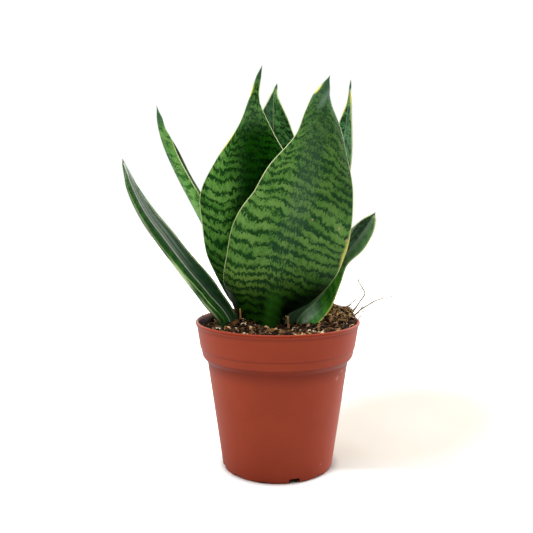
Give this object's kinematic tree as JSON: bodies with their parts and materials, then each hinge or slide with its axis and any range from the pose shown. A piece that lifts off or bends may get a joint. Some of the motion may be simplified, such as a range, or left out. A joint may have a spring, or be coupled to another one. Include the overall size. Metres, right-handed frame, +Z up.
{
  "type": "potted snake plant",
  "caption": "Snake plant with stiff upright, channelled, banded leaves growing from bark potting mix in a small tapered terracotta-coloured plastic nursery pot.",
  "frame": {"origin": "centre of the pot's flat underside, on the surface that the pot stands on", "axes": "+Z up along the pot's axis, -Y towards the front of the plant, +X to the right seen from the front"},
  "size_m": [0.1735, 0.105, 0.2553],
  "materials": {
    "pot_plastic": "satin moulded plastic, terracotta colour",
    "potting_mix": "damp bark and peat crumbs, matte",
    "leaf": "waxy satin leaf, dark and light green cross bands, cream margin",
    "twig": "dry broken wood, matte",
    "root": "dry fibrous root, matte"
  },
  "bodies": {
    "root": {"pot": "pot_plastic", "potting_mix": "potting_mix", "leaf_front": "leaf", "leaf_left_centre": "leaf", "leaf_back_centre": "leaf", "leaf_right_back": "leaf", "leaf_left_back": "leaf", "leaf_left_low": "leaf", "leaf_right_low": "leaf", "twig_left": "twig", "twig_centre": "twig", "twig_right": "twig", "root_strand_back": "root", "root_strand_tall": "root", "root_strand_long": "root"}
  },
  "joints": []
}
